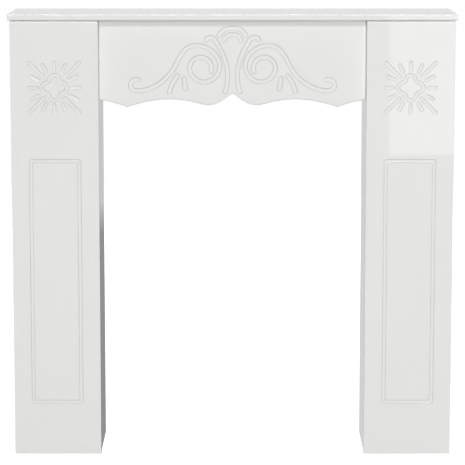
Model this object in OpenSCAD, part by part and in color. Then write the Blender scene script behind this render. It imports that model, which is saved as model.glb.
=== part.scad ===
// Fireplace mantelpiece: a shelf on two hollow box columns, with a carved apron between them.
// +X is the viewer's right, the front faces -Y and +Z is up.
// The origin is on the floor, at the middle of the shelf's outline.

/* [Overall] */
// Width of the shelf, end to end
width = 1100; // [880:1:1320]
// Height from the floor to the top of the shelf
height = 1100; // [880:1:1320]
// Depth from the shelf's front edge to the wall
depth = 235; // [180:1:320]

/* [Shelf] */
// Thickness of the shelf board
shelf_thickness = 15; // [12:0.5:30]
// How far the shelf stands past each column's outer face
shelf_side_overhang = 5.5; // [0:0.5:40]
// How far the shelf stands past the columns' front faces
shelf_front_overhang = 5; // [0:0.5:40]
// Rounding of the shelf's front and end edges
shelf_edge_radius = 3; // [1:0.5:5]

/* [Columns] */
// Width of each column's front board
column_width = 216; // [170:1:270]
// Thickness of the carved front boards
front_thickness = 16; // [12:0.5:22]
// Thickness of the side boards
side_thickness = 15; // [10:0.5:22]
// How far the side boards sit inside the front board's edges
side_setback = 1; // [0:0.5:10]
// Rounding of the front boards' long front edges
front_edge_radius = 1.5; // [0.5:0.5:4]

/* [Apron] */
// Height of the apron at its middle, under the shelf
apron_middle_height = 183.5; // [150:0.5:230]
// Thickness of the apron board
apron_thickness = 16; // [12:0.5:22]
// How far the apron's face lies behind the backs of the column fronts
apron_recess = 9; // [0:0.5:60]
// Free play at each end of the apron
apron_end_clearance = 0.5; // [0.1:0.1:2]

/* [Carving] */
// Width of the grooves routed in an apron of the drawn size
apron_groove_width = 11; // [6:0.5:12]
// Width of the column fronts' routed grooves
column_groove_width = 9; // [6:0.5:10]
// Depth of the routed grooves
groove_depth = 2.5; // [1:0.5:5]
// From the column's edge to the middle of the panel groove beside it
panel_margin = 48.5; // [30:0.5:60]
// From the floor to the middle of the panel groove's lower run
panel_bottom = 133.5; // [80:0.5:200]
// From the shelf down to the middle of the panel groove's upper run
panel_top_drop = 346; // [290:1:400]
// Rounding of the panel groove's outer corners
panel_corner_radius = 7; // [5:0.5:15]
// From the shelf down to the middle of the sunburst
sunburst_drop = 165; // [110:1:180]
// From the sunburst's middle to the start of its short rays
ray_start = 38.5; // [36:0.5:50]
// From the sunburst's middle to the tips of its short rays
short_ray_end = 66; // [60:0.5:70]
// From the sunburst's middle to the start of its corner rays
corner_ray_start = 32; // [30:0.5:50]
// From the sunburst's middle to the tips of its corner rays
corner_ray_end = 91; // [75:0.5:94]
// Angle between an upright or level ray and the slanted ones beside it
slanted_ray_angle = 26.5; // [24:0.5:29]
// From the sunburst's middle to the crown of each lobe of the flower in it
flower_reach = 31; // [28:0.5:32]
// Radius of each lobe of that flower
lobe_radius = 12.5; // [11:0.5:13]
// From the sunburst's middle to the notches between the lobes
notch_reach = 21; // [20:0.5:22]

/* [Hidden] */

$fn = 48;
// Farthest that the flats of a curved outline lie from its true curve
flat_error = 0.12;
// Turn between two points of a groove's round tip, in degrees
tip_step = 22.5;
// How far a cutter runs past the face it enters
cut_past = 1;
board_white = [0.9, 0.9, 0.89];
side_white = [0.87, 0.87, 0.86];

column_height = height - shelf_thickness;
shelf_front = -depth / 2;
back = depth / 2;
column_front = shelf_front + shelf_front_overhang;
column_outer = width / 2 - shelf_side_overhang;
column_inner = column_outer - column_width;
column_middle = (column_outer + column_inner) / 2;
side_front = column_front + front_thickness;
side_depth = back - side_front;
opening_half = column_inner + side_setback;
apron_half = opening_half - apron_end_clearance;
apron_front = side_front + apron_recess;

// The apron's carving is drawn for an apron of this half length and middle height,
// and stretched to the apron's own size.
drawn_half = 329;
drawn_height = 183.5;
stretch_x = apron_half / drawn_half;
stretch_y = apron_middle_height / drawn_height;
// The grooves narrow or widen with the carving, so that its tightest bends stay open
carving_width = apron_groove_width * min(stretch_x, stretch_y);

// A route is [start, runs]. The start is [x, y, heading], with y under the shelf.
// Each run is [radius, turn] for an arc, where a left turn is positive, or [length, 0].
scroll_route = [
    [52.5, -127.5, 108],
    [
        [27, -212], [36, -92], [39, -95], [57, -82], [35, -40],
        [170, -12], [118, 49], [64, 24], [13.5, 129], [15.5, 62]
    ]
];
lyre_route = [[64, -50.5, 92], [[7, 77], [16, 69], [250, 11], [125, 39]]];
long_leaf_route = [[135.5, -138, -51], [[98, -26]]];
short_leaf_route = [[119, -145, -93], [[116, -12.5]]];
upper_arch_route = [[0, -20.5, 0], [[55, -7], [34, -55]]];
lower_arch_route = [[0, -36.7, 0], [[32, -15], [17.5, -62]]];
// The apron's lower edge, from the peak at its middle to its end
lower_edge_route = [
    [0, -drawn_height, 0],
    [
        [13, -41], [135, 13], [54, 37], [135, 7], [262, -32], [31, 0],
        [5, 38], [270, -15]
    ]
];

// Centre of a run's arc, from its start and its run
function arc_centre(p, run) =
    let (side = sign(run[1]))
    [p.x - side * run[0] * sin(p.z), p.y + side * run[0] * cos(p.z)];

// Place and heading after a share t of one run
function along(p, run, t) =
    run[1] == 0
    ? [p.x + t * run[0] * cos(p.z), p.y + t * run[0] * sin(p.z), p.z]
    : let (
        side = sign(run[1]),
        centre = arc_centre(p, run),
        heading = p.z + t * run[1]
    )
    [
        centre.x + side * run[0] * sin(heading),
        centre.y - side * run[0] * cos(heading),
        heading
    ];

// Number of equal steps that one run is drawn with
function steps(run) = max(1, ceil(abs(run[1]) / (2 * acos(1 - flat_error / run[0]))));

// Places and headings along a route, from run i to its last one
function trace(p, runs, i = 0) =
    i == len(runs)
    ? [p]
    : concat(
        [for (k = [0 : steps(runs[i]) - 1]) along(p, runs[i], k / steps(runs[i]))],
        trace(along(p, runs[i], 1), runs, i + 1)
    );

// The same places on the apron as it is made, stretched both ways
function stretched(places) = [
    for (p = places)
    [
        p.x * stretch_x,
        p.y * stretch_y,
        atan2(stretch_y * sin(p.z), stretch_x * cos(p.z))
    ]
];

// A half that starts on the middle line, carried on to the other side of it
function both_halves(half) = concat(
    [for (i = [len(half) - 1 : -1 : 1]) [-half[i].x, half[i].y, -half[i].z]],
    half
);

// Points at one distance to the left of a traced line
function beside(places, distance) =
    [for (p = places) [p.x - distance * sin(p.z), p.y + distance * cos(p.z)]];

function reversed(list) = [for (i = [len(list) - 1 : -1 : 0]) list[i]];

// Round end of a groove at a place, going round its tip from the left side to the right
function tip(p, r) = [
    for (a = [90 - tip_step : -tip_step : tip_step - 90])
    [p.x + r * cos(p.z + a), p.y + r * sin(p.z + a)]
];

// Outline of a groove with round ends along a traced line
module groove(places, width) {
    first = places[0];
    last = places[len(places) - 1];
    polygon(concat(
        beside(places, width / 2),
        tip(last, width / 2),
        reversed(beside(places, -width / 2)),
        tip([first.x, first.y, first.z + 180], width / 2)
    ));
}

// Outline of a straight groove with round ends, between two distances along X
module straight_groove(start, end, width) {
    r = width / 2;
    translate([start + r, -r]) square([end - start - width, width]);
    translate([start + r, 0]) circle(r);
    translate([end - r, 0]) circle(r);
}

// Cuts a flat outline into a face that looks to -Y
module carve(face) {
    translate([0, face + groove_depth, 0])
        rotate([90, 0, 0])
            linear_extrude(groove_depth + cut_past) children();
}

module mirrored_pair() {
    children();
    mirror([1, 0]) children();
}

// One half of the apron's carving that doesn't cross the middle line
module half_carving() {
    for (route = [scroll_route, lyre_route, long_leaf_route, short_leaf_route])
        groove(stretched(trace(route[0], route[1])), carving_width);
}

module apron_carving() {
    mirrored_pair() half_carving();
    for (route = [upper_arch_route, lower_arch_route])
        groove(both_halves(stretched(trace(route[0], route[1]))), carving_width);
}

// Face of the apron: level on top, scalloped below
module apron_outline() {
    edge = stretched(trace(lower_edge_route[0], lower_edge_route[1]));
    end_y = edge[len(edge) - 1].y;
    intersection() {
        polygon(concat(
            [[-width, 0], [-width, end_y]],
            beside(both_halves(edge), 0),
            [[width, end_y], [width, 0]]
        ));
        translate([-apron_half, -height]) square([2 * apron_half, height]);
    }
}

module apron() {
    color(board_white)
        translate([0, 0, column_height])
            difference() {
                translate([0, apron_front + apron_thickness, 0])
                    rotate([90, 0, 0])
                        linear_extrude(apron_thickness) apron_outline();
                carve(apron_front) apron_carving();
            }
}

// Radius of the fillet that joins two lobes at their notch, from the flower's three sizes
lobe_centre = flower_reach - lobe_radius;
notch_radius =
    (pow(lobe_centre, 2) - sqrt(2) * lobe_centre * notch_reach
        + pow(notch_reach, 2) - pow(lobe_radius, 2))
    / (sqrt(2) * lobe_centre - 2 * notch_reach + 2 * lobe_radius);
notch_centre = (notch_reach + notch_radius) / sqrt(2);
// Turn of each lobe from its crown to the fillet
lobe_turn = 90 - atan2(notch_centre - lobe_centre, notch_centre);
flower_runs = [
    for (quarter = [1 : 4])
    each [[lobe_radius, -lobe_turn], [notch_radius, 2 * lobe_turn - 90], [lobe_radius, -lobe_turn]]
];

module flower() {
    line = trace([0, flower_reach, 0], flower_runs);
    difference() {
        polygon(beside(line, column_groove_width / 2));
        polygon(beside(line, -column_groove_width / 2));
    }
}

module sunburst() {
    flower();
    for (quarter = [0 : 90 : 270]) rotate(quarter) {
        for (side = [-1, 0, 1])
            rotate(side * slanted_ray_angle)
                straight_groove(ray_start, short_ray_end, column_groove_width);
        rotate(45)
            straight_groove(corner_ray_start, corner_ray_end, column_groove_width);
    }
}

// Upright oblong centred on X, with round corners, standing on y = 0
module round_oblong(w, h, r) {
    translate([-w / 2 + r, 0]) square([w - 2 * r, h]);
    translate([-w / 2, r]) square([w, h - 2 * r]);
    for (x = [-w / 2 + r, w / 2 - r], y = [r, h - r])
        translate([x, y]) circle(r);
}

// The tall panel's groove, whose inner corners stay square
module panel_groove() {
    w = column_width - 2 * panel_margin;
    h = column_height - panel_top_drop - panel_bottom;
    g = column_groove_width;
    translate([0, panel_bottom - g / 2])
        difference() {
            round_oblong(w + g, h + g, panel_corner_radius);
            translate([-w / 2 + g / 2, g]) square([w - g, h - g]);
        }
}

// Plan of a front board, with its two front edges rounded
module front_board_plan() {
    r = front_edge_radius;
    translate([-column_width / 2, r]) square([column_width, front_thickness - r]);
    translate([-column_width / 2 + r, 0]) square([column_width - 2 * r, front_thickness]);
    for (x = [-column_width / 2 + r, column_width / 2 - r])
        translate([x, r]) circle(r);
}

module column_front(side) {
    color(board_white)
        translate([side * column_middle, 0, 0])
            difference() {
                translate([0, column_front, 0])
                    linear_extrude(column_height) front_board_plan();
                carve(column_front) {
                    panel_groove();
                    translate([0, column_height - sunburst_drop]) sunburst();
                }
            }
}

// A side board that stands behind a front board, with its middle at this distance from X = 0
module side_board(middle) {
    color(side_white)
        translate([middle - side_thickness / 2, side_front, 0])
            cube([side_thickness, side_depth, column_height]);
}

module inner_side(side) {
    side_board(side * (opening_half + side_thickness / 2));
}

module outer_side(side) {
    side_board(side * (column_outer - side_setback - side_thickness / 2));
}

// Section of a board with its edges at 0 and at w rounded
module rounded_section(w, round_far_edge) {
    r = shelf_edge_radius;
    far = round_far_edge ? w - r : w;
    translate([r, 0]) square([far - r, shelf_thickness]);
    translate([0, r]) square([w, shelf_thickness - 2 * r]);
    for (x = round_far_edge ? [r, w - r] : [r], y = [r, shelf_thickness - r])
        translate([x, y]) circle(r);
}

// Rounded along its front and both ends, and square at the wall
module shelf() {
    color(board_white)
        translate([-width / 2, shelf_front, column_height])
            intersection() {
                translate([0, depth, 0])
                    rotate([90, 0, 0]) linear_extrude(depth) rounded_section(width, true);
                rotate([90, 0, 90]) linear_extrude(width) rounded_section(depth, false);
            }
}

shelf();
apron();
column_front(-1);  // left_column_front
column_front(1);  // right_column_front
inner_side(-1);  // left_inner_side
inner_side(1);  // right_inner_side
outer_side(-1);  // left_outer_side
outer_side(1);  // right_outer_side
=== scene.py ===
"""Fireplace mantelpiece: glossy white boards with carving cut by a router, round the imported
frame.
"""

import logging
import math
from dataclasses import dataclass
from enum import Enum
from typing import Callable

import bpy
import numpy as np
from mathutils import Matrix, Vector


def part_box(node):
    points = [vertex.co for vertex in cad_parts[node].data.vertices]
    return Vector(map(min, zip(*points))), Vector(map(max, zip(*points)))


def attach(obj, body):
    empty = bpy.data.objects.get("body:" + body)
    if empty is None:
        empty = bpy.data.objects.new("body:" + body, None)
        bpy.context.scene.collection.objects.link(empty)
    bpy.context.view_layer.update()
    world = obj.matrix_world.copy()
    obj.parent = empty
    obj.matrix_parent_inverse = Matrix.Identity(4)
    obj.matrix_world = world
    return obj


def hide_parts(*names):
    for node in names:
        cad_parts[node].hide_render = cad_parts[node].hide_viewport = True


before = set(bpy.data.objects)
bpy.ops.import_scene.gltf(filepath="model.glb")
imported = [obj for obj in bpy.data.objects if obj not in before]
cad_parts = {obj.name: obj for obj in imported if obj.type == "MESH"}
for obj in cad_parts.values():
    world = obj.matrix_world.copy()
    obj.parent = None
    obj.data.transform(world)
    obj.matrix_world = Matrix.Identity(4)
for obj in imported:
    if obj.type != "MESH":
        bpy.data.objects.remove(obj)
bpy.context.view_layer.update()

log = logging.getLogger("mantelpiece")

Array = np.ndarray
Colour = tuple[float, float, float]
Corner = tuple[float, float, float]
Pair = tuple[float, float]
Station = tuple[float, float, float]
Material = bpy.types.Material
Object = bpy.types.Object
Socket = bpy.types.NodeSocket

# One millimetre, in metres.
MM = 0.001
# Millimetres past a rounding at which a line of points holds the flat beside it flat.
HOLD = 0.4
# Least corner radius of an outline that draws in, in millimetres.
LEAST_RADIUS = 0.05
# Turns of the points round an edge that runs along the rings, after the face's last point.
EDGE_TURNS = np.radians([22.5, 45, 67.5, 90])
# Turns of the rings round a board's end.
END_TURNS = np.radians([0, 30, 60, 90])
# Share of a grid step that a point may move to reach a groove's lip.
REACH = 0.48
# Share of a face's normal along the hidden direction over which the face is backing.
FACING = 0.99
# Mesh attribute that holds the painted shade of the grooves: how far the foil's colour is darkened
# at each point.
GROOVE_SHADE_ATTRIBUTE = "routed"


class Side(Enum):
    """Which side of the middle a board stands on."""

    LEFT = -1
    RIGHT = 1

    @property
    def word(self) -> str:
        """The side in small letters, as the nodes' names have it."""
        return self.name.lower()


class Standing(Enum):
    """Which of a column's two side boards one is."""

    INNER = "inner"
    OUTER = "outer"


# Shader trees ---------------------------------------------------------------------------


class Value:
    """A number socket of a node, with the usual operators."""

    def __init__(self, tree: "Tree", socket: Socket) -> None:
        """Keeps the tree and the socket."""
        self.tree = tree
        self.socket = socket

    def __add__(self, other: "Number") -> "Value":
        """Sum."""
        return self.tree.maths("ADD", self, other)

    def __sub__(self, other: "Number") -> "Value":
        """Difference."""
        return self.tree.maths("SUBTRACT", self, other)

    def __mul__(self, other: "Number") -> "Value":
        """Product."""
        return self.tree.maths("MULTIPLY", self, other)

    __radd__ = __add__
    __rmul__ = __mul__


Number = Value | float


class Tree:
    """The nodes of one material or of the world."""

    noise_roughness = 0.55

    def __init__(self, owner: bpy.types.ID) -> None:
        """Empties the owner's node tree and keeps it.

        Args:
            owner: The material or world that the nodes belong to.
        """
        owner.use_nodes = True
        self.tree = owner.node_tree
        self.tree.nodes.clear()

    def node(
        self, kind: str, settings: dict | None = None, inputs: dict | None = None
    ) -> bpy.types.Node:
        """Makes one node, with its settings first and then its sockets.

        Args:
            kind: The node's type name.
            settings: Attributes of the node.
            inputs: Numbers, colours, Values or sockets, by the input's name or number.

        Returns:
            The node.
        """
        made = self.tree.nodes.new(kind)
        for name, setting in (settings or {}).items():
            setattr(made, name, setting)
        for name, given in (inputs or {}).items():
            if isinstance(given, Value):
                given = given.socket
            if isinstance(given, Socket):
                self.tree.links.new(given, made.inputs[name])
            else:
                made.inputs[name].default_value = given
        return made

    def maths(self, operation: str, first: Number, second: Number) -> Value:
        """Adds one Math node on two numbers.

        Args:
            operation: The Math node's operation.
            first: Its first number.
            second: Its second number.

        Returns:
            The node's result.
        """
        made = self.node("ShaderNodeMath", {"operation": operation}, {0: first, 1: second})
        return Value(self, made.outputs[0])

    def place(self) -> Socket:
        """Place on the object, in metres in the shared frame."""
        return self.node("ShaderNodeTexCoord").outputs["Object"]

    def noise(self, scale: float, detail: float, stretch: Corner = (1.0, 1.0, 1.0)) -> Value:
        """Soft random field over the object, around one half.

        Args:
            scale: Blotches per metre.
            detail: Number of finer layers.
            stretch: Scale along each axis.

        Returns:
            The field's value, from 0 to 1.
        """
        spot = self.node("ShaderNodeMapping", {}, {"Vector": self.place(), "Scale": stretch})
        inputs = {
            "Vector": spot.outputs[0],
            "Scale": scale,
            "Detail": detail,
            "Roughness": self.noise_roughness,
        }
        made = self.node("ShaderNodeTexNoise", {"noise_dimensions": "3D"}, inputs)
        return Value(self, made.outputs[0])

    def blend(self, share: Number | Socket, first: Colour | Socket, second: Colour) -> Socket:
        """Mix of two colours.

        Args:
            share: Share of the second colour, from 0 to 1.
            first: The first colour, linear, or its socket.
            second: The second colour, linear.

        Returns:
            The mixed colour's socket.
        """
        start = first if isinstance(first, Socket) else (*first, 1)
        inputs = {0: share, 6: start, 7: (*second, 1)}
        return self.node("ShaderNodeMix", {"data_type": "RGBA"}, inputs).outputs[2]

    def bump(self, height: Value, distance: float) -> Socket:
        """Normal of a surface raised by a height.

        Args:
            height: The height, from 0 to 1.
            distance: What a height of 1 stands for, in metres.

        Returns:
            The normal's socket.
        """
        inputs = {"Height": height, "Distance": distance, "Strength": 1.0}
        return self.node("ShaderNodeBump", {}, inputs).outputs[0]

    def output(self, shader: bpy.types.Node, kind: str = "ShaderNodeOutputMaterial") -> None:
        """Joins a shader to the tree's output."""
        self.node(kind, {}, {"Surface": shader.outputs[0]})


def linear(level: int, warmth: float = 0.0) -> Colour:
    """Linear colour of a grey screen level: each channel is ((c + 0.055) / 1.055)^2.4.

    Args:
        level: Level on the screen, from 0 to 255.
        warmth: How many levels blue lies under red.

    Returns:
        Red, green and blue, linear.
    """
    channels = (level, level, level - warmth)
    red, green, blue = (((c / 255 + 0.055) / 1.055) ** 2.4 for c in channels)
    return red, green, blue


# Finishes -------------------------------------------------------------------------------


@dataclass(frozen=True)
class GlossFoil:
    """High-gloss white foil, pulled over fibreboard: mirror-like, with a faint ripple."""

    name: str = "gloss_white_foil"
    light: int = 240
    deep: int = 237
    # Level that the painted groove shade darkens the foil's colour towards.
    routed: int = 196
    warmth: float = 2.0
    ior: float = 1.5
    roughness: float = 0.02
    roughness_play: float = 0.015
    play_scale: float = 12.0
    cloud_scale: float = 5.0
    ripple_scale: float = 90.0
    ripple_height: float = 0.0000015

    def material(self) -> Material:
        """Builds the foil: clouded white, with painted shade that darkens its colour on the groove
        walls and floors.

        Returns:
            The material.
        """
        made = bpy.data.materials.new(self.name)
        tree = Tree(made)
        deep, light, routed = (linear(c, self.warmth) for c in (self.deep, self.light, self.routed))
        clouds = tree.blend(tree.noise(self.cloud_scale, detail=3), deep, light)
        # Painted shade: the base colour is darkened in the grooves by the mesh attribute.
        painted_shade = tree.node("ShaderNodeAttribute", {"attribute_name": GROOVE_SHADE_ATTRIBUTE}).outputs["Fac"]
        play = tree.noise(self.play_scale, detail=4) - 0.5
        ripple = tree.noise(self.ripple_scale, detail=2)
        inputs = {
            "Base Color": tree.blend(painted_shade, clouds, routed),
            "Roughness": self.roughness + self.roughness_play * play,
            "IOR": self.ior,
            "Normal": tree.bump(ripple, self.ripple_height),
        }
        tree.output(tree.node("ShaderNodeBsdfPrincipled", {}, inputs))
        return made


@dataclass(frozen=True)
class BackingSheet:
    """Plain white backing of a board: matt, with a fine paper grain."""

    name: str = "matt_backing_sheet"
    light: int = 232
    deep: int = 226
    warmth: float = 4.0
    ior: float = 1.45
    roughness: float = 0.55
    roughness_play: float = 0.2
    play_scale: float = 30.0
    grain_scale: float = 900.0
    grain_stretch: Corner = (1.0, 1.0, 0.15)
    grain_height: float = 0.00004

    def material(self) -> Material:
        """Builds the sheet: flecked off-white over a fibre grain that runs up the board.

        Returns:
            The material.
        """
        made = bpy.data.materials.new(self.name)
        tree = Tree(made)
        deep, light = linear(self.deep, self.warmth), linear(self.light, self.warmth)
        grain = tree.noise(self.grain_scale, detail=3, stretch=self.grain_stretch)
        play = tree.noise(self.play_scale, detail=3) - 0.5
        inputs = {
            "Base Color": tree.blend(grain, deep, light),
            "Roughness": self.roughness + self.roughness_play * play,
            "IOR": self.ior,
            "Normal": tree.bump(grain, self.grain_height),
        }
        tree.output(tree.node("ShaderNodeBsdfPrincipled", {}, inputs))
        return made


@dataclass(frozen=True)
class StudioWhite:
    """White of the floor, which keeps the object's shadow."""

    name: str = "studio_white"
    level: int = 175
    mottle: int = 1
    mottle_scale: float = 3.0
    lift: float = 0.9
    in_gloss: float = 0.7

    def material(self) -> Material:
        """Builds the white: matt paint lifted to white for the camera, and level in gloss.

        Returns:
            The material.
        """
        made = bpy.data.materials.new(self.name)
        tree = Tree(made)
        deep, light = linear(self.level - self.mottle), linear(self.level + self.mottle)
        colour = tree.blend(tree.noise(self.mottle_scale, detail=3), deep, light)
        paint = tree.node("ShaderNodeBsdfDiffuse", {}, {"Color": colour})
        lift = tree.node("ShaderNodeEmission", {}, {"Strength": self.lift * background_rays(tree)})
        both = tree.node("ShaderNodeAddShader", {}, {0: paint.outputs[0], 1: lift.outputs[0]})
        level = tree.node("ShaderNodeEmission", {}, {"Strength": self.in_gloss})
        glossy = tree.node("ShaderNodeLightPath").outputs["Is Glossy Ray"]
        inputs = {0: glossy, 1: both.outputs[0], 2: level.outputs[0]}
        tree.output(tree.node("ShaderNodeMixShader", {}, inputs))
        return made


@dataclass(frozen=True)
class StudioCard:
    """Glowing grey of a card: one level near the object, another farther back."""

    name: str
    near: float
    far: float
    fade: Pair

    def material(self) -> Material:
        """Builds the grey: it fades in a straight line along the card's depth.

        Returns:
            The material.
        """
        made = bpy.data.materials.new(self.name)
        tree = Tree(made)
        split = tree.node("ShaderNodeSeparateXYZ", {}, {0: tree.place()})
        start, end = self.fade
        inputs = {
            "Value": split.outputs[1],
            "From Min": start,
            "From Max": end,
            "To Min": self.near,
            "To Max": self.far,
        }
        grey = tree.node("ShaderNodeMapRange", {"clamp": True}, inputs).outputs[0]
        tree.output(tree.node("ShaderNodeEmission", {}, {"Color": grey, "Strength": 1.0}))
        return made


def background_rays(tree: Tree) -> Value:
    """Tells rays that show the background straight, in gloss or through glass.

    Args:
        tree: The tree that gets the nodes.

    Returns:
        1 for such rays and 0 for the rest.
    """
    path = tree.node("ShaderNodeLightPath").outputs
    seen = Value(tree, path["Is Camera Ray"]) + Value(tree, path["Is Glossy Ray"])
    return tree.maths("MINIMUM", seen + Value(tree, path["Is Transmission Ray"]), 1.0)


# Routed lines ---------------------------------------------------------------------------


@dataclass(frozen=True)
class Route:
    """A line of arcs laid end to end on a board's face, in millimetres.

    Each run is a radius and a turn in degrees, to the left where it is positive, or a length
    and 0 for a straight one.
    """

    start: Station
    runs: tuple[Pair, ...]

    def stations(self) -> list[Station]:
        """Works out where the runs start and where the last one ends.

        Returns:
            Place across, place up and heading in degrees at each.
        """
        x, z, heading = self.start
        found = [(x, z, heading)]
        for size, turn in self.runs:
            a = math.radians(heading)
            b = math.radians(heading + turn)
            side = math.copysign(size, turn)
            if turn:
                x += side * (math.sin(b) - math.sin(a))
                z += side * (math.cos(a) - math.cos(b))
            else:
                x += size * math.cos(a)
                z += size * math.sin(a)
            heading += turn
            found.append((x, z, heading))
        return found

    def distance(self, x: Array, z: Array) -> Array:
        """Distance from points to the line.

        The nearest point of an arc lies in the point's own direction from the arc's centre,
        with its turn held between the arc's two ends.

        Args:
            x: Places across.
            z: Places up.

        Returns:
            The distance of each point to the nearest arc.
        """
        nearest = np.full(np.shape(x), np.inf)
        for (x0, z0, heading), (radius, turn) in zip(self.stations(), self.runs):
            side = math.copysign(1.0, turn)
            middle = math.radians(heading + turn / 2)
            half = math.radians(abs(turn)) / 2
            a = math.radians(heading)
            cx = x0 - side * radius * math.sin(a)
            cz = z0 + side * radius * math.cos(a)
            facing = np.arctan2(side * (x - cx), -side * (z - cz))
            off = np.clip((facing - middle + np.pi) % (2 * np.pi) - np.pi, -half, half)
            px = cx + side * radius * np.sin(middle + off)
            pz = cz - side * radius * np.cos(middle + off)
            nearest = np.minimum(nearest, np.hypot(x - px, z - pz))
        return nearest

    def points(self, per_run: int = 40) -> tuple[Array, Array]:
        """Points along the line, evenly spaced in each run.

        Args:
            per_run: Number of steps in each run.

        Returns:
            Their places across and up.
        """
        share = np.linspace(0, 1, per_run + 1)
        across, up = [], []
        for (x0, z0, heading), (size, turn) in zip(self.stations(), self.runs):
            a = math.radians(heading)
            if turn:
                b = a + np.radians(turn) * share
                side = math.copysign(size, turn)
                across.append(x0 + side * (np.sin(b) - math.sin(a)))
                up.append(z0 + side * (math.cos(a) - np.cos(b)))
            else:
                across.append(x0 + size * share * math.cos(a))
                up.append(z0 + size * share * math.sin(a))
        return np.concatenate(across), np.concatenate(up)


@dataclass(frozen=True)
class Cove:
    """Section of a groove cut by a router: steep sides with crisp lips over a bowed floor, and the
    painted shade that darkens them.
    """

    half_width: float
    wall: float
    bow: float
    # Strength of the painted shade on the groove walls, and the share of it that the floor keeps.
    shade_strength: float
    floor_shade_strength: float
    depth: float = 2.5

    def painted_shade(self, inside: Array) -> Array:
        """Painted shade at a distance s inside the lip.

        It is the shade strength times exp(-((s - wall / 2) / wall)^2), and farther in than the
        middle of the wall it is no less than the shade strength times the floor's share of it.

        Args:
            inside: Distance inside the lip.

        Returns:
            How much painted shade darkens each point, from 0 to 1.
        """
        wall = np.exp(-(((inside - self.wall / 2) / self.wall) ** 2))
        return self.shade_strength * np.maximum(wall, self.floor_shade_strength * (inside > self.wall / 2))

    def fall(self, inside: Array) -> Array:
        """Depth under the face at a distance s inside the lip.

        The wall falls by depth (1 - bow) s / wall, and the whole section by a further
        depth bow (1 - (1 - s / half_width)^2).

        Args:
            inside: Distance inside the lip.

        Returns:
            The depth of each point.
        """
        wall = np.clip(inside / self.wall, 0, 1)
        floor = 1 - (1 - np.clip(inside / self.half_width, 0, 1)) ** 2
        return self.depth * ((1 - self.bow) * wall + self.bow * floor)


Field = Callable[[Array, Array], Array]


def settled(field: Field, x: Array, z: Array, wall: float, reach: float) -> tuple[Array, Array]:
    """Moves the points near a groove's lip, and those near its wall's foot, straight onto it.

    The step is (level - field) slope / |slope|^2, so a lip runs through points and not
    between them. The slope is taken over a short probe, and its square is held above a
    least one where two lines of the carving meet.

    Args:
        field: Distance inside the lip, below 0 outside it.
        x: Places across.
        z: Places up.
        wall: Distance inside the lip where the foot runs.
        reach: Farthest that a point moves.

    Returns:
        The new places across and up.
    """
    probe, least = 0.02, 0.25
    x, z = x.copy(), z.copy()
    start = field(x, z)
    for level in (0.0, wall):
        near = np.abs(start - level) < reach
        px, pz = x[near], z[near]
        gx = (field(px + probe, pz) - field(px - probe, pz)) / (2 * probe)
        gz = (field(px, pz + probe) - field(px, pz - probe)) / (2 * probe)
        step = (level - start[near]) / np.maximum(gx**2 + gz**2, least)
        x[near] += step * gx
        z[near] += step * gz
    return x, z


@dataclass(frozen=True)
class ApronCarving:
    """Scrolls, lyre, leaves and arches of the apron, each half drawn once.

    Places are across from the middle and up from the apron's top edge.
    """

    # The cove's last two numbers set the painted shade on the grooves.
    cove: Cove = Cove(half_width=5.5, wall=1.1, bow=0.12, shade_strength=0.6, floor_shade_strength=0.1)
    routes: tuple[Route, ...] = (
        Route(
            (52.5, -127.5, 108),
            (
                (27, -212), (36, -92), (39, -95), (57, -82), (35, -40),
                (170, -12), (118, 49), (64, 24), (13.5, 129), (15.5, 62),
            ),
        ),
        Route((64, -50.5, 92), ((7, 77), (16, 69), (250, 11), (125, 39))),
        Route((135.5, -138, -51), ((98, -26),)),
        Route((119, -145, -93), ((116, -12.5),)),
        Route((0, -20.5, 0), ((55, -7), (34, -55))),
        Route((0, -36.7, 0), ((32, -15), (17.5, -62))),
    )
    edge: Route = Route(
        (0, -183.5, 0),
        ((13, -41), (135, 13), (54, 37), (135, 7), (262, -32), (31, 0), (5, 38), (270, -15)),
    )

    def inside(self, x: Array, z: Array) -> Array:
        """Distance inside the nearest lip: half the width less the distance to the line."""
        near = np.min([route.distance(np.abs(x), z) for route in self.routes], axis=0)
        return self.cove.half_width - near

    def lower_edge(self, x: Array) -> Array:
        """Place of the scalloped lower edge up from the top edge, the same on both sides."""
        across, up = self.edge.points()
        return np.interp(np.abs(x), across, up)


@dataclass(frozen=True)
class Sunburst:
    """Four-lobed flower with sixteen rays round it, drawn as one eighth and folded out."""

    ray: Pair = (38.5, 66.0)
    corner_ray: Pair = (32.0, 91.0)
    slant: float = 26.5
    flower_reach: float = 31.0
    lobe_radius: float = 12.5
    notch_reach: float = 21.0

    def flower(self) -> Route:
        """One eighth of the flower: half a lobe from its crown, then half a notch fillet.

        The fillet touches the lobe and passes through the notch on the diagonal. With the
        lobe's centre at l and its radius r, and the notch at n, the fillet's radius is
        (l^2 - sqrt(2) l n + n^2 - r^2) / (sqrt(2) l - 2 n + 2 r).

        Returns:
            The line.
        """
        lobe = self.flower_reach - self.lobe_radius
        notch, r = self.notch_reach, self.lobe_radius
        over = lobe**2 - math.sqrt(2) * lobe * notch + notch**2 - r**2
        fillet = over / (math.sqrt(2) * lobe - 2 * notch + 2 * r)
        centre = (notch + fillet) / math.sqrt(2)
        turn = 90 - math.degrees(math.atan2(centre - lobe, centre))
        return Route((self.flower_reach, 0, 90), ((r, turn), (fillet, 45 - turn)))

    def inside(self, x: Array, z: Array, half_width: float) -> Array:
        """Distance inside the nearest lip, with the point folded into the first eighth.

        Args:
            x: Places across from the flower's middle.
            z: Places up from it.
            half_width: Half the groove's width.

        Returns:
            The distance of each point.
        """
        across = np.maximum(np.abs(x), np.abs(z))
        up = np.minimum(np.abs(x), np.abs(z))
        near = self.flower().distance(across, up)
        for angle, (start, end) in ((0, self.ray), (self.slant, self.ray), (45, self.corner_ray)):
            c, s = math.cos(math.radians(angle)), math.sin(math.radians(angle))
            along = across * c + up * s
            held = np.clip(along, start + half_width, end - half_width)
            near = np.minimum(near, np.hypot(along - held, up * c - across * s))
        return half_width - near


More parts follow.
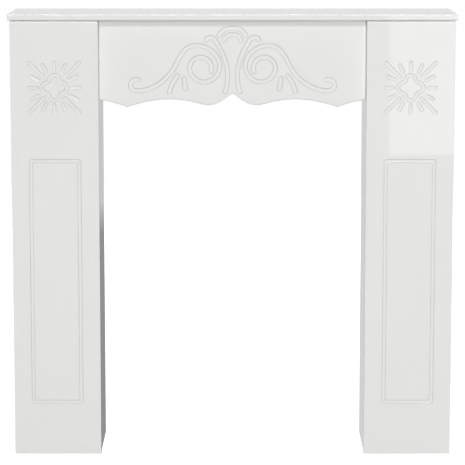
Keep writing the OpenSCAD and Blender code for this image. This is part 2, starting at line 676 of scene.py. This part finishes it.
def beyond_corner(x: Array, z: Array) -> Array:
    """Signed distance to a quarter plane's corner: |max(x, 0), max(z, 0)| + min(max(x, z), 0).

    Args:
        x: Places past the corner across, below 0 inside.
        z: Places past the corner up, below 0 inside.

    Returns:
        The distance of each point, below 0 inside.
    """
    return np.hypot(np.maximum(x, 0), np.maximum(z, 0)) + np.minimum(np.maximum(x, z), 0)


@dataclass(frozen=True)
class ColumnCarving:
    """Tall panel groove and the sunburst over it, from the board's middle and the floor."""

    board_width: float = 216.0
    board_height: float = 1085.0
    margin: float = 48.5
    bottom: float = 133.5
    top_drop: float = 346.0
    corner_radius: float = 7.0
    sunburst_drop: float = 165.0
    groove_band: float = 12.0
    sunburst_band: float = 3.0
    # The cove's last two numbers set the painted shade on the grooves.
    cove: Cove = Cove(half_width=4.5, wall=0.9, bow=0.35, shade_strength=0.5, floor_shade_strength=0.18)
    sunburst: Sunburst = Sunburst()

    def panel(self, x: Array, z: Array) -> Array:
        """Distance inside the panel groove: between a round-cornered and a square oblong.

        Args:
            x: Places across from the board's middle.
            z: Places up from the floor.

        Returns:
            The distance of each point.
        """
        top = self.board_height - self.top_drop
        middle = (top + self.bottom) / 2
        half_x = self.board_width / 2 - self.margin
        half_z = (top - self.bottom) / 2
        g, r = self.cove.half_width, self.corner_radius
        qx, qz = np.abs(x) - half_x, np.abs(z - middle) - half_z
        ox, oz = qx - g + r, qz - g + r
        outer = beyond_corner(ox, oz) - r
        inner = beyond_corner(qx + g, qz + g)
        return np.minimum(-outer, inner)

    def inside(self, x: Array, z: Array) -> Array:
        """Distance inside the nearest lip of the panel groove or the sunburst."""
        up = z - (self.board_height - self.sunburst_drop)
        return np.maximum(self.panel(x, z), self.sunburst.inside(x, up, self.cove.half_width))

    def levels(self, fine: float, coarse: float) -> Array:
        """Heights of the grid's rows: close together where the carving bends.

        Args:
            fine: Step across the sunburst and the panel groove's level runs.
            coarse: Step elsewhere.

        Returns:
            The heights, rising.
        """
        burst = self.board_height - self.sunburst_drop
        top = self.board_height - self.top_drop
        corner = self.sunburst.corner_ray[1] * math.sqrt(0.5) + self.sunburst_band
        reach = max(corner, self.sunburst.ray[1] + self.sunburst_band)
        bands = ((self.bottom, self.groove_band), (top, self.groove_band), (burst, reach))
        inner = [z + s * half for z, half in bands for s in (-1, 1)]
        return lines((0.0, *inner, self.board_height), (coarse, fine) * 3 + (coarse,))


# Meshes ---------------------------------------------------------------------------------


def solid_from_rings(
    name: str, rings: Array, routed: Array | None = None, sharp_angle: float = 35.0
) -> Object:
    """Closed board through a stack of closed rings, with a flat face on each end.

    Quads join each ring to the next one. The faces are turned outwards by the sign of the
    volume that they hold: the sum of a . (b x c + c x d) over the quads, and of a . (b x c)
    over the fans of the two ends.

    Args:
        name: The piece's name.
        rings: Points as rings by points by three, in metres.
        routed: Painted shade of the grooves: how far the foil's colour is darkened at each point,
            from 0 to 1.
        sharp_angle: Angle in degrees over which an edge stays sharp.

    Returns:
        The piece, at the origin.
    """
    m, n, _ = rings.shape
    i, j = np.meshgrid(np.arange(m - 1) * n, np.arange(n), indexing="ij")
    k = (j + 1) % n
    quads = np.stack([i + j, i + n + j, i + n + k, i + k], axis=-1).reshape(-1, 4)
    points = rings.reshape(-1, 3)
    a, b, c, d = (points[quads[:, q]] for q in range(4))
    shell = np.einsum("ij,ij->i", a, np.cross(b, c) + np.cross(c, d)).sum()
    for ring, turn in ((rings[0], 1), (rings[-1], -1)):
        fan = np.cross(ring[1:-1], ring[2:])
        shell += turn * np.einsum("j,ij->i", ring[0], fan).sum()
    loops = np.concatenate([quads.ravel(), np.arange(n), (m - 1) * n + np.arange(n)[::-1]])
    sizes = np.concatenate([np.full(len(quads), 4), [n, n]])
    if shell < 0:
        loops, sizes = loops[::-1], sizes[::-1]
    mesh = bpy.data.meshes.new(name)
    mesh.vertices.add(len(points))
    mesh.vertices.foreach_set("co", points.astype(np.float32).ravel())
    mesh.loops.add(len(loops))
    mesh.loops.foreach_set("vertex_index", loops.astype(np.int32))
    mesh.polygons.add(len(sizes))
    mesh.polygons.foreach_set("loop_start", (np.cumsum(sizes) - sizes).astype(np.int32))
    mesh.update(calc_edges=True)
    mesh.validate()
    mesh.polygons.foreach_set("use_smooth", np.ones(len(mesh.polygons), bool))
    mesh.set_sharp_from_angle(angle=math.radians(sharp_angle))
    # Painted groove shade, kept on the points as a mesh attribute.
    if routed is not None:
        held = mesh.attributes.new(GROOVE_SHADE_ATTRIBUTE, "FLOAT", "POINT")
        held.data.foreach_set("value", routed.astype(np.float32).ravel())
    made = bpy.data.objects.new(name, mesh)
    bpy.context.scene.collection.objects.link(made)
    return made


def dress(
    piece: Object, node: str, face: Material, back: Material, hidden: Corner
) -> Object:
    """Gives a board its foil and its backing, lets it stand for its node and reports it.

    Args:
        piece: The board.
        node: The node that it stands for.
        face: Finish of the faces and edges.
        back: Finish of the side that looks in the hidden direction.
        hidden: That direction.

    Returns:
        The board.
    """
    mesh = piece.data
    mesh.materials.append(face)
    mesh.materials.append(back)
    normals = np.zeros(len(mesh.polygons) * 3, np.float32)
    mesh.polygons.foreach_get("normal", normals)
    towards = normals.reshape(-1, 3) @ np.array(hidden, np.float32)
    mesh.polygons.foreach_set("material_index", (towards > FACING).astype(np.int32))
    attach(piece, "root")
    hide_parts(node)
    log.info("%s: %d faces", piece.name, len(mesh.polygons))
    return piece


def end_fall(before: Array, after: Array, radius: float) -> Array:
    """How far a face falls back near its two ends: r - sqrt(r^2 - n^2), n past the arc's start.

    Args:
        before: Distance to the first end.
        after: Distance to the last end.
        radius: Radius of the ends' rounding.

    Returns:
        The fall at each place.
    """
    near = np.clip(radius - np.minimum(before, after), 0, radius)
    return radius - np.sqrt(radius**2 - near**2)


def lines(marks: tuple[float, ...], steps: tuple[float, ...]) -> Array:
    """Grid lines between marks, evenly spaced between each two of them.

    Args:
        marks: Places that get a line, rising.
        steps: Widest step after each mark but the last.

    Returns:
        The lines, rising.
    """
    parts = []
    for start, end, step in zip(marks[:-1], marks[1:], steps):
        count = max(1, math.ceil((end - start) / step))
        parts.append(np.linspace(start, end, count + 1)[:-1])
    return np.append(np.concatenate(parts), marks[-1])


def eased(length: float, radius: float, steps: int = 8) -> tuple[Array, Array]:
    """Levels along a board and how far its outline draws in at each, for rounded ends.

    Near an end the outline draws in by r - sqrt(r^2 - (r - z)^2). A level just past each
    rounding holds the flat beside it flat.

    Args:
        length: The board's length.
        radius: Radius of its edges.
        steps: Steps round each edge.

    Returns:
        The levels, rising, and the inset at each.
    """
    a = np.linspace(0, np.pi / 2, steps + 1)
    rise = radius * (1 - np.cos(a))
    inset = radius * (1 - np.sin(a))
    hold = radius + HOLD * MM
    levels = np.concatenate([rise, [hold, length - hold], length - rise[::-1]])
    return levels, np.concatenate([inset, [0, 0], inset[::-1]])


def rounded_plan(low: Array, high: Array, radius: float, inset: float, steps: int = 4) -> Array:
    """Round-cornered oblong in plan, with a point just past each corner to hold its sides.

    Args:
        low: Lowest x and y.
        high: Highest x and y.
        radius: Radius of the corners.
        inset: How far the outline draws in.
        steps: Steps round each corner.

    Returns:
        The outline's points, counter-clockwise.
    """
    r = max(radius - inset, LEAST_RADIUS * MM)
    low, high = low + inset, high - inset
    hold = HOLD * MM
    corners = []
    for quarter, (sx, sy) in enumerate(((1, 1), (-1, 1), (-1, -1), (1, -1))):
        cx = high[0] if sx > 0 else low[0]
        cy = high[1] if sy > 0 else low[1]
        a = np.radians(90 * quarter) + np.linspace(0, np.pi / 2, steps + 1)
        arc = np.stack([cx - sx * r + r * np.cos(a), cy - sy * r + r * np.sin(a)], axis=1)
        before = arc[0] - hold * np.array([-np.sin(a[0]), np.cos(a[0])])
        after = arc[-1] + hold * np.array([-np.sin(a[-1]), np.cos(a[-1])])
        corners += [before[None], arc, after[None]]
    return np.concatenate(corners)


def eased_board(name: str, low: Array, high: Array, radius: float) -> Object:
    """Plain board with every edge rounded: oblong plans stacked from its foot to its top.

    Args:
        name: The piece's name.
        low: Lowest corner.
        high: Highest corner.
        radius: Radius of its edges.

    Returns:
        The piece.
    """
    levels, insets = eased(high[2] - low[2], radius)
    levels = np.concatenate([levels[:1], levels, levels[-1:]])
    insets = np.concatenate([insets[:1] + HOLD * MM, insets, insets[-1:] + HOLD * MM])
    rings = []
    for level, inset in zip(levels, insets):
        plan = rounded_plan(low[:2], high[:2], radius, inset)
        rings.append(np.column_stack([plan, np.full(len(plan), low[2] + level)]))
    return solid_from_rings(name, np.array(rings))


def beside_face(face: Array, rings: Array) -> Array:
    """Values on a board's face, carried on as 0 round the rest of its rings."""
    return np.pad(face, ((0, 0), (0, rings.shape[1] - face.shape[1])))


def node_box(node: str) -> tuple[Array, Array]:
    """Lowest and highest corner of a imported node, as arrays."""
    low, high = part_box(node)
    return np.array(low), np.array(high)


# Boards ---------------------------------------------------------------------------------


@dataclass(frozen=True)
class Finishes:
    """Materials that the boards share."""

    foil: Material
    # Copy of the foil painted a few levels darker for the side boards: painted shade.
    side_foil_painted_shade: Material
    backing: Material


@dataclass(frozen=True)
class Shelf:
    """Shelf board, rounded along its front and ends."""

    edge_radius: float = 3 * MM

    def build(self, finishes: Finishes) -> Object:
        """Builds and dresses the board.

        Args:
            finishes: The shared materials.

        Returns:
            The piece.
        """
        low, high = node_box("shelf")
        piece = eased_board("shelf_board", low, high, self.edge_radius)
        return dress(piece, "shelf", finishes.foil, finishes.backing, (0, 1, 0))


@dataclass(frozen=True)
class Apron:
    """Carved apron with its scalloped lower edge."""

    carving: ApronCarving = ApronCarving()
    step: float = 1.12
    plain_step: float = 6.0
    band_step: float = 4.0
    top_band: float = 13.0
    carved_half: float = 264.0
    edge_radius: float = 2.8
    end_radius: float = 2.8
    joint: float = 1.2
    joint_depth: float = 7.0

    def sections(self, half: float) -> tuple[Array, Array]:
        """Places of the sections across, and how far the face falls back at each.

        The outermost two at each end make the shadow joint, a rebate in the face beside
        the column.

        Args:
            half: Half the board's length.

        Returns:
            The places, rising, and the fall at each.
        """
        e, flush = self.end_radius, half - self.joint
        marks = (-flush + e, -self.carved_half, self.carved_half, flush - e)
        across = lines(marks, (self.plain_step, self.step, self.plain_step))
        ends = e * (1 - np.cos(END_TURNS[:-1]))
        across = np.concatenate([-flush + ends, across, flush - ends[::-1]])
        back_off = end_fall(across + flush, flush - across, e)
        across = np.concatenate([[-half, -flush], across, [flush, half]])
        return across, np.pad(back_off, 2, constant_values=self.joint_depth)

    def rings(self) -> tuple[Array, Array]:
        """Sections of the board from its left end to its right one.

        A section runs down the face to the lower edge, round it, under the board, up the
        back and over the top. On the face, y is the face plus the cove's fall.

        Returns:
            Points as rings by points by three, in metres, and how grey each point is.
        """
        low, high = node_box("apron")
        low, high = low / MM, high / MM
        thick, r = high[1] - low[1], self.edge_radius
        carving, cove = self.carving, self.carving.cove
        across, back_off = self.sections(high[0])
        lower = carving.lower_edge(across)
        tall = -lower.mean()
        marks = (0.0, self.top_band / tall, 1.0)
        share = lines(marks, (self.band_step / tall, self.step / tall))
        x, s = np.meshgrid(across, share, indexing="ij")
        z = s * (lower + r)[:, None]
        x, z = settled(carving.inside, x, z, cove.wall, self.step * REACH)
        inside = carving.inside(x, z)
        face = np.stack([x, low[1] + cove.fall(inside), z], axis=-1)
        # Round the lower edge, under the board and on to its back, then the top.
        under_y = [*(r - r * np.cos(EDGE_TURNS)), r + HOLD, thick - HOLD, thick, thick]
        under_z = [*(r - r * np.sin(EDGE_TURNS)), 0, 0, 0, HOLD]
        top_y, top_z = [thick, thick, thick - HOLD, HOLD], [-HOLD, 0, 0, 0]
        on_lower = np.repeat([1, 0], [len(under_z), len(top_z)])
        rest_y, rest_z = np.array(under_y + top_y), np.array(under_z + top_z)
        rest = np.zeros((len(across), rest_y.size, 3))
        rest[..., 0] = across[:, None]
        rest[..., 1] = low[1] + rest_y
        rest[..., 2] = lower[:, None] * on_lower + rest_z
        rings = np.concatenate([face, rest], axis=1)
        rings[..., 1] += back_off[:, None] * (rings[..., 1] < low[1] + thick / 2)
        rings[..., 2] += high[2]
        return rings * MM, beside_face(cove.painted_shade(inside), rings)

    def build(self, finishes: Finishes) -> Object:
        """Builds and dresses the board.

        Args:
            finishes: The shared materials.

        Returns:
            The piece.
        """
        piece = solid_from_rings("carved_apron", *self.rings())
        return dress(piece, "apron", finishes.foil, finishes.backing, (0, 1, 0))


@dataclass(frozen=True)
class ColumnFront:
    """Front board of a column, carved with a panel groove and a sunburst."""

    side: Side
    carving: ColumnCarving = ColumnCarving()
    fine: float = 0.8
    coarse: float = 10.0
    plain_step: float = 6.0
    carved_half: float = 70.0
    edge_radius: float = 1.5
    foot_radius: float = 0.8
    top_radius: float = 2.5
    joint: float = 2.7
    joint_depth: float = 7.0

    def plans(self) -> tuple[Array, Array]:
        """Heights of the plans, and how far the face falls back at each.

        The topmost two make the shadow joint, a rebate in the face under the shelf.

        Returns:
            The heights, rising, and the fall at each.
        """
        whole = self.carving.board_height
        tall = whole - self.joint
        foot, top = self.foot_radius, self.top_radius
        ends = 1 - np.cos(END_TURNS)
        low_rows = [*(foot * ends), foot + HOLD]
        high_rows = [tall - top - HOLD, *(tall - top * ends[::-1]), tall, whole]
        middle_rows = self.carving.levels(self.fine, self.coarse)[1:-1]
        rows = np.concatenate([low_rows, middle_rows, high_rows])
        back_off = end_fall(rows, rows + foot, foot) + end_fall(tall - rows, tall - rows + top, top)
        back_off[-2:] = self.joint_depth
        return rows, back_off

    def rings(self) -> tuple[Array, Array]:
        """Plans of the board from the floor up.

        A plan runs along the face, round the right edge, back along the rear and round the
        left edge. On the face, y is the face plus the cove's fall, and near the foot and
        the top it falls back in a small rounding.

        Returns:
            Points as rings by points by three, in metres, and the painted groove shade at each
            point.
        """
        low, high = node_box(f"{self.side.word}_column_front")
        low, high = low / MM, high / MM
        thick, half, r = high[1] - low[1], (high[0] - low[0]) / 2, self.edge_radius
        carving, cove = self.carving, self.carving.cove
        carved, plain, flat = self.carved_half, self.plain_step, half - r
        marks = (-half + r, -half + r + HOLD, -carved, carved, flat - HOLD, flat)
        across = lines(marks, (plain, plain, self.fine, plain, plain))
        rows, back_off = self.plans()
        z, x = np.meshgrid(rows, across, indexing="ij")
        x, z = settled(carving.inside, x, z, cove.wall, self.fine * REACH)
        inside = carving.inside(x, z)
        face = np.stack([x, cove.fall(inside), z], axis=-1)
        right_x = [*(flat + r * np.sin(EDGE_TURNS)), half, half, half, half - HOLD]
        right_y = [*(r - r * np.cos(EDGE_TURNS)), r + HOLD, thick - HOLD, thick, thick]
        rest = np.zeros((len(rows), 2 * len(right_x), 3))
        rest[..., 0] = np.concatenate([right_x, np.negative(right_x[::-1])])
        rest[..., 1] = right_y + right_y[::-1]
        rest[..., 2] = rows[:, None]
        rings = np.concatenate([face, rest], axis=1)
        front_share = np.clip(1 - rings[..., 1] / (thick / 2), 0, 1)
        rings[..., 1] += back_off[:, None] * front_share
        rings += np.array([(low[0] + high[0]) / 2, low[1], low[2]])
        return rings * MM, beside_face(cove.painted_shade(inside), rings)

    def build(self, finishes: Finishes) -> Object:
        """Builds and dresses the board.

        Args:
            finishes: The shared materials.

        Returns:
            The piece.
        """
        piece = solid_from_rings(f"{self.side.word}_carved_front", *self.rings())
        node = f"{self.side.word}_column_front"
        return dress(piece, node, finishes.foil, finishes.backing, (0, 1, 0))


@dataclass(frozen=True)
class SideBoard:
    """Plain side board of a column, gloss outside and backed on the column's hollow side."""

    side: Side
    standing: Standing
    edge_radius: float = 0.8 * MM

    def build(self, finishes: Finishes) -> Object:
        """Builds and dresses the board.

        Args:
            finishes: The shared materials.

        Returns:
            The piece.
        """
        node = f"{self.side.word}_{self.standing.value}_side"
        low, high = node_box(node)
        piece = eased_board(f"{node}_board", low, high, self.edge_radius)
        towards = self.side.value if self.standing is Standing.INNER else -self.side.value
        foil, backing = finishes.side_foil_painted_shade, finishes.backing
        return dress(piece, node, foil, backing, (towards, 0, 0))


# Studio ---------------------------------------------------------------------------------


@dataclass(frozen=True)
class Camera:
    """Long lens a little above the shelf, looking slightly down."""

    distance: float = 5.689
    height: float = 1.4469
    pitch: float = 0.1473
    focal_frames: float = 4.9144
    shift_y: float = -0.05
    sensor: float = 36.0
    clip_end: float = 200.0

    def build(self) -> None:
        """Makes the camera and gives it to the scene."""
        data = bpy.data.cameras.new("camera")
        data.sensor_width = self.sensor
        data.lens = self.focal_frames * self.sensor
        data.shift_y = self.shift_y
        data.clip_end = self.clip_end
        made = bpy.data.objects.new("camera", data)
        made.location = (0, -self.distance, self.height)
        made.rotation_euler = (math.pi / 2 - self.pitch, 0, 0)
        bpy.context.scene.collection.objects.link(made)
        bpy.context.scene.camera = made


def staged(
    name: str, points: list[Corner], faces: list[tuple[int, ...]], finish: StudioWhite | StudioCard
) -> Object:
    """Makes a flat-faced thing of the studio, which is no part of the object.

    Args:
        name: Its name.
        points: Its corners.
        faces: Its faces, by corner number.
        finish: Its finish.

    Returns:
        The thing, linked to the scene.
    """
    mesh = bpy.data.meshes.new(name)
    mesh.from_pydata(points, [], faces)
    mesh.materials.append(finish.material())
    made = bpy.data.objects.new(name, mesh)
    bpy.context.scene.collection.objects.link(made)
    return made


@dataclass(frozen=True)
class Panel:
    """Rectangular soft light, aimed at a place, that the camera doesn't see."""

    name: str
    place: Corner
    aim: Corner
    size: Pair
    radiance: float
    in_gloss: bool = False
    in_diffuse: bool = True

    def build(self) -> None:
        """Makes the light, with its power from its radiance: power = radiance x pi x area."""
        data = bpy.data.lights.new(self.name, "AREA")
        data.shape = "RECTANGLE"
        data.size, data.size_y = self.size
        data.energy = self.radiance * math.pi * self.size[0] * self.size[1]
        made = bpy.data.objects.new(self.name, data)
        made.location = self.place
        x, y, z = (a - p for a, p in zip(self.aim, self.place))
        made.rotation_euler = (math.atan2(math.hypot(x, y), -z), 0, math.atan2(-x, y))
        made.visible_camera = False
        made.visible_glossy = self.in_gloss
        made.visible_diffuse = self.in_diffuse
        bpy.context.scene.collection.objects.link(made)


@dataclass(frozen=True)
class Card:
    """Card behind the object that only gloss shows, the same section all along its width.

    The section gives the back and the height of each bend, and the two levels are those
    near the object and at the wall.
    """

    name: str
    across: Pair
    section: tuple[Pair, ...]
    levels: Pair
    fade: Pair

    def build(self) -> None:
        """Makes the card."""
        points = [(x, y, z) for y, z in self.section for x in self.across]
        bends = range(len(self.section) - 1)
        faces = [(2 * i, 2 * i + 1, 2 * i + 3, 2 * i + 2) for i in bends]
        made = staged(self.name, points, faces, StudioCard(self.name, *self.levels, self.fade))
        made.visible_camera = made.visible_diffuse = made.visible_shadow = False
        made.visible_transmission = False


@dataclass(frozen=True)
class Window:
    """Soft window whose reflection in the right-hand column starts at a chosen place."""

    edge: Pair = (0.385, 0.756)
    distance: float = 2.5
    size: Pair = (0.55, 1.0)
    radiance: float = 1.8

    def panel(self, camera: Camera) -> Panel:
        """Places the light: a ray from the camera to that place goes on, mirrored, to its corner.

        Args:
            camera: The camera that sees the reflection.

        Returns:
            The light.
        """
        face = node_box("right_column_front")[0][1]
        reach = camera.distance + face
        ratio = (reach + self.distance) / reach
        x = self.edge[0] * ratio
        z = camera.height + (self.edge[1] - camera.height) * ratio
        place = (x + self.size[0] / 2, face - self.distance, z + self.size[1] / 2)
        aim = (place[0], 0, place[2])
        return Panel("window_light", place, aim, self.size, self.radiance, in_gloss=True)


@dataclass(frozen=True)
class Studio:
    """White floor under a white world, cards for the gloss, soft lights and the camera."""

    camera: Camera = Camera()
    window: Window = Window()
    floor_half: float = 40.0
    world_level: float = 0.2
    world_colour: Colour = (1.0, 1.0, 0.99)
    card_half: float = 4.0
    card_start: float = -0.1
    card_lift: float = 0.002
    card_bend: float = 1.0
    card_top: float = 2.4
    wall: float = 4.3
    fade_depth: float = 0.9
    panels: tuple[Panel, ...] = (
        Panel("key_light", place=(0, -12.0, 8.0), aim=(0, 0, 1.0), size=(2.0, 1.0), radiance=86),
        Panel("front_light", place=(0, -11.4, 3.4), aim=(0, 0, 0.5), size=(2.4, 1.2), radiance=31),
        Panel("fill_light", place=(0, -5.5, 0.4), aim=(0, 0, 0.4), size=(1.2, 0.6), radiance=21),
        Panel(
            "edge_light", place=(0, -2.2, 3.2), aim=(0, 0, 1.1), size=(3.2, 1.8), radiance=10,
            in_gloss=True, in_diffuse=False,
        ),
        Panel("top_light", place=(0, 0.9, 3.5), aim=(0, 0.3, 1.1), size=(2.4, 1.0), radiance=4),
        Panel(
            "left_light", place=(-3.5, 0.12, 0.9), aim=(0, 0.12, 0.7), size=(0.2, 1.2), radiance=48
        ),
        Panel(
            "right_light", place=(3.5, 0.12, 0.9), aim=(0, 0.12, 0.7), size=(0.2, 1.2), radiance=48
        ),
        Panel("back_light", place=(0, 4.5, 1.6), aim=(0, 0.2, 0.6), size=(2.4, 1.2), radiance=10),
    )

    def cards(self) -> tuple[Card, ...]:
        """Two cards that run back along the floor and up the wall, and one over them.

        Returns:
            The cards, not yet built.
        """
        half, wall = self.card_half, self.wall
        low = ((self.card_start, self.card_lift), (wall, self.card_lift), (wall, self.card_bend))
        high = ((wall, self.card_bend), (wall, self.card_top))
        fade = (wall - self.fade_depth, wall)
        return (
            Card("left_card", (-half, 0.0), low, levels=(0.26, 0.65), fade=fade),
            Card("right_card", (0.0, half), low, levels=(0.75, 0.75), fade=fade),
            Card("high_card", (-half, half), high, levels=(0.80, 0.80), fade=fade),
        )

    def world(self) -> None:
        """Makes the world: white where the background shows, and dim as a light."""
        made = bpy.data.worlds.new("studio_world")
        bpy.context.scene.world = made
        tree = Tree(made)
        strength = self.world_level + (1 - self.world_level) * background_rays(tree)
        inputs = {"Color": (*self.world_colour, 1), "Strength": strength}
        tree.output(tree.node("ShaderNodeBackground", {}, inputs), "ShaderNodeOutputWorld")

    def build(self) -> None:
        """Builds the floor, the world, the cards, the lights and the camera."""
        half = self.floor_half
        corners = [(-half, -half, 0), (half, -half, 0), (half, half, 0), (-half, half, 0)]
        staged("studio_floor", corners, [(0, 1, 2, 3)], StudioWhite())
        self.world()
        bpy.context.scene.view_settings.view_transform = "Standard"
        for part in (*self.cards(), self.window.panel(self.camera), *self.panels):
            part.build()
        self.camera.build()


def main() -> None:
    """Builds the mantelpiece and its studio in order."""
    logging.basicConfig(level=logging.INFO, format="%(name)s: %(message)s")
    finishes = Finishes(
        foil=GlossFoil().material(),
        # The side boards' foil is painted four levels darker than the front's: painted shade.
        side_foil_painted_shade=GlossFoil(name="gloss_side_foil", light=236, deep=233).material(),
        backing=BackingSheet().material(),
    )
    Shelf().build(finishes)
    Apron().build(finishes)
    for side in Side:
        ColumnFront(side).build(finishes)
        for standing in Standing:
            SideBoard(side, standing).build(finishes)
    Studio().build()


if __name__ == "__main__":
    main()
